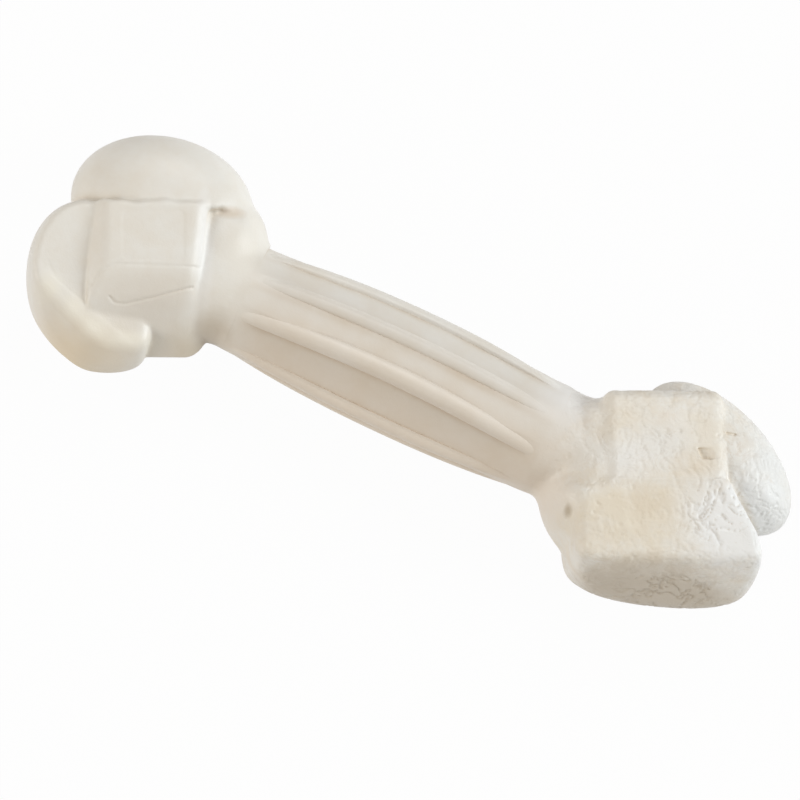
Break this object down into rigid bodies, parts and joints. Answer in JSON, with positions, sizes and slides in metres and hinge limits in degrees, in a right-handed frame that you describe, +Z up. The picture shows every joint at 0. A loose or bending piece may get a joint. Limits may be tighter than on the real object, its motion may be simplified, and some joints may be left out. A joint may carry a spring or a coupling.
{
  "type": "edible chew bone",
  "caption": "Moulded edible dog chew: a ridged barrel shaft between two skewed, knuckled ends, each with a saddle block and rounded lobes.",
  "frame": {"origin": "middle of the bone's box, on the surface that it rests on", "axes": "+X along the shaft towards the rough end, +Z up through the level panels, +Y towards the upper lobe's side"},
  "size_m": [0.1856, 0.0586, 0.033],
  "materials": {
    "smooth_chew": "waxy, smooth moulded skin, satin",
    "rough_chew": "waxy, wrinkled and pitted moulded skin, satin"
  },
  "bodies": {
    "root": {"shaft": "smooth_chew", "ridge_1": "smooth_chew", "ridge_2": "smooth_chew", "ridge_3": "smooth_chew", "ridge_4": "smooth_chew", "ridge_5": "smooth_chew", "ridge_6": "smooth_chew", "ridge_7": "smooth_chew", "ridge_8": "smooth_chew", "left_collar": "smooth_chew", "left_saddle": "smooth_chew", "left_upper_lobe": "smooth_chew", "left_outer_lobe": "smooth_chew", "right_collar": "rough_chew", "right_saddle": "rough_chew", "right_lower_lobe": "rough_chew", "right_outer_lobe": "rough_chew"}
  },
  "joints": []
}
